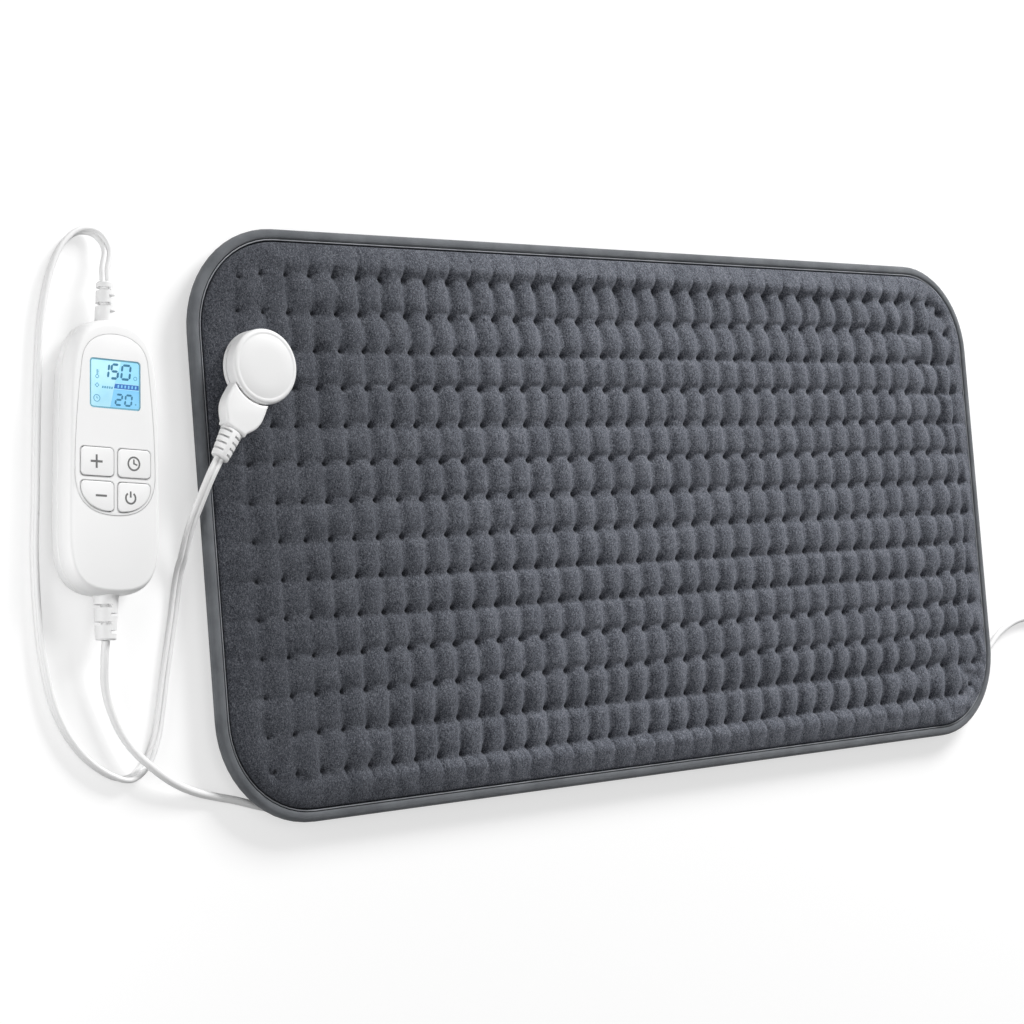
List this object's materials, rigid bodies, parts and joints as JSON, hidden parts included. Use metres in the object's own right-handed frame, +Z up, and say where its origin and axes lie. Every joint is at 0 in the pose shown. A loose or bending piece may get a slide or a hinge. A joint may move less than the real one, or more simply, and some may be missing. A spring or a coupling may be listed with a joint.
{
  "type": "heating pad with controller",
  "caption": "Quilted plush heating pad with a bound edge, a round snap-in connector and a corded hand controller with a display and push buttons.",
  "frame": {"origin": "middle of the pad's flat back, on the table that the pad lies on", "axes": "+X along the pad away from the controller, +Y across the pad to the connector's side, +Z up from the quilted front"},
  "size_m": [0.823, 0.3363, 0.026],
  "materials": {
    "plush": "short dark grey plush pile",
    "binding_cloth": "smooth woven tape",
    "back_cloth": "brushed knit",
    "felt": "thin non-woven sheet",
    "wire_sheath": "satin",
    "white_plastic": "satin",
    "white_rubber": "satin",
    "clear_window": "clear gloss",
    "display_glass": "lit liquid crystal",
    "board_green": "solder mask",
    "black_plastic": "moulded",
    "amber_film": "dipped",
    "contact_brass": "bright",
    "steel": "plated"
  },
  "bodies": {
    "pad_set": {"front_cover": "plush", "edge_binding": "binding_cloth", "rear_cover": "back_cloth", "wire_carrier": "felt", "heating_wire": "wire_sheath", "connector_base": "white_plastic", "connector_cap": "white_plastic", "pin_block": "white_plastic", "controller_lower_shell": "white_plastic", "controller_upper_shell": "white_plastic", "face_panel": "white_plastic", "display_holder": "white_plastic", "mains_plug": "white_plastic", "lead_strain_relief": "white_rubber", "mains_strain_relief": "white_rubber", "pad_lead": "white_rubber", "mains_lead": "white_rubber", "mains_coil": "white_rubber", "display_window": "clear_window", "fuse": "clear_window", "display_module": "display_glass", "circuit_board": "board_green", "microcontroller": "black_plastic", "triac": "black_plastic", "cord_tie": "black_plastic", "plus_switch": "black_plastic", "timer_switch": "black_plastic", "minus_switch": "black_plastic", "power_switch": "black_plastic", "capacitor": "amber_film", "contact_pin_1": "contact_brass", "contact_pin_2": "contact_brass", "backing_plate": "steel", "connector_screw_1": "steel", "connector_screw_2": "steel", "case_screw_1": "steel", "case_screw_2": "steel", "case_screw_3": "steel", "case_screw_4": "steel", "plug_blade_1": "steel", "plug_blade_2": "steel"},
    "plus_key": {"plus_button": "white_plastic", "plus_plunger": "white_plastic"},
    "timer_key": {"timer_button": "white_plastic", "timer_plunger": "white_plastic"},
    "minus_key": {"minus_button": "white_plastic", "minus_plunger": "white_plastic"},
    "power_key": {"power_button": "white_plastic", "power_plunger": "white_plastic"},
    "lead_plug": {"plug_grip": "white_plastic", "plug_insert": "white_plastic", "contact_sleeve_1": "contact_brass", "contact_sleeve_2": "contact_brass", "plug_strain_relief": "white_rubber"}
  },
  "joints": [
    {"name": "plus_press", "type": "slide", "parent": "pad_set", "child": "plus_key", "axis": [0, 0, -1], "range_m": [0, 0.0008], "stiffness_N_per_m": 1500},
    {"name": "timer_press", "type": "slide", "parent": "pad_set", "child": "timer_key", "axis": [0, 0, -1], "range_m": [0, 0.0008], "stiffness_N_per_m": 1500},
    {"name": "minus_press", "type": "slide", "parent": "pad_set", "child": "minus_key", "axis": [0, 0, -1], "range_m": [0, 0.0008], "stiffness_N_per_m": 1500},
    {"name": "power_press", "type": "slide", "parent": "pad_set", "child": "power_key", "axis": [0, 0, -1], "range_m": [0, 0.0008], "stiffness_N_per_m": 1500},
    {"name": "plug_pull", "type": "slide", "parent": "pad_set", "child": "lead_plug", "axis": [-0.5388, -0.8425, 0], "range_m": [0, 0.014], "deforming": ["pad_lead"]}
  ]
}
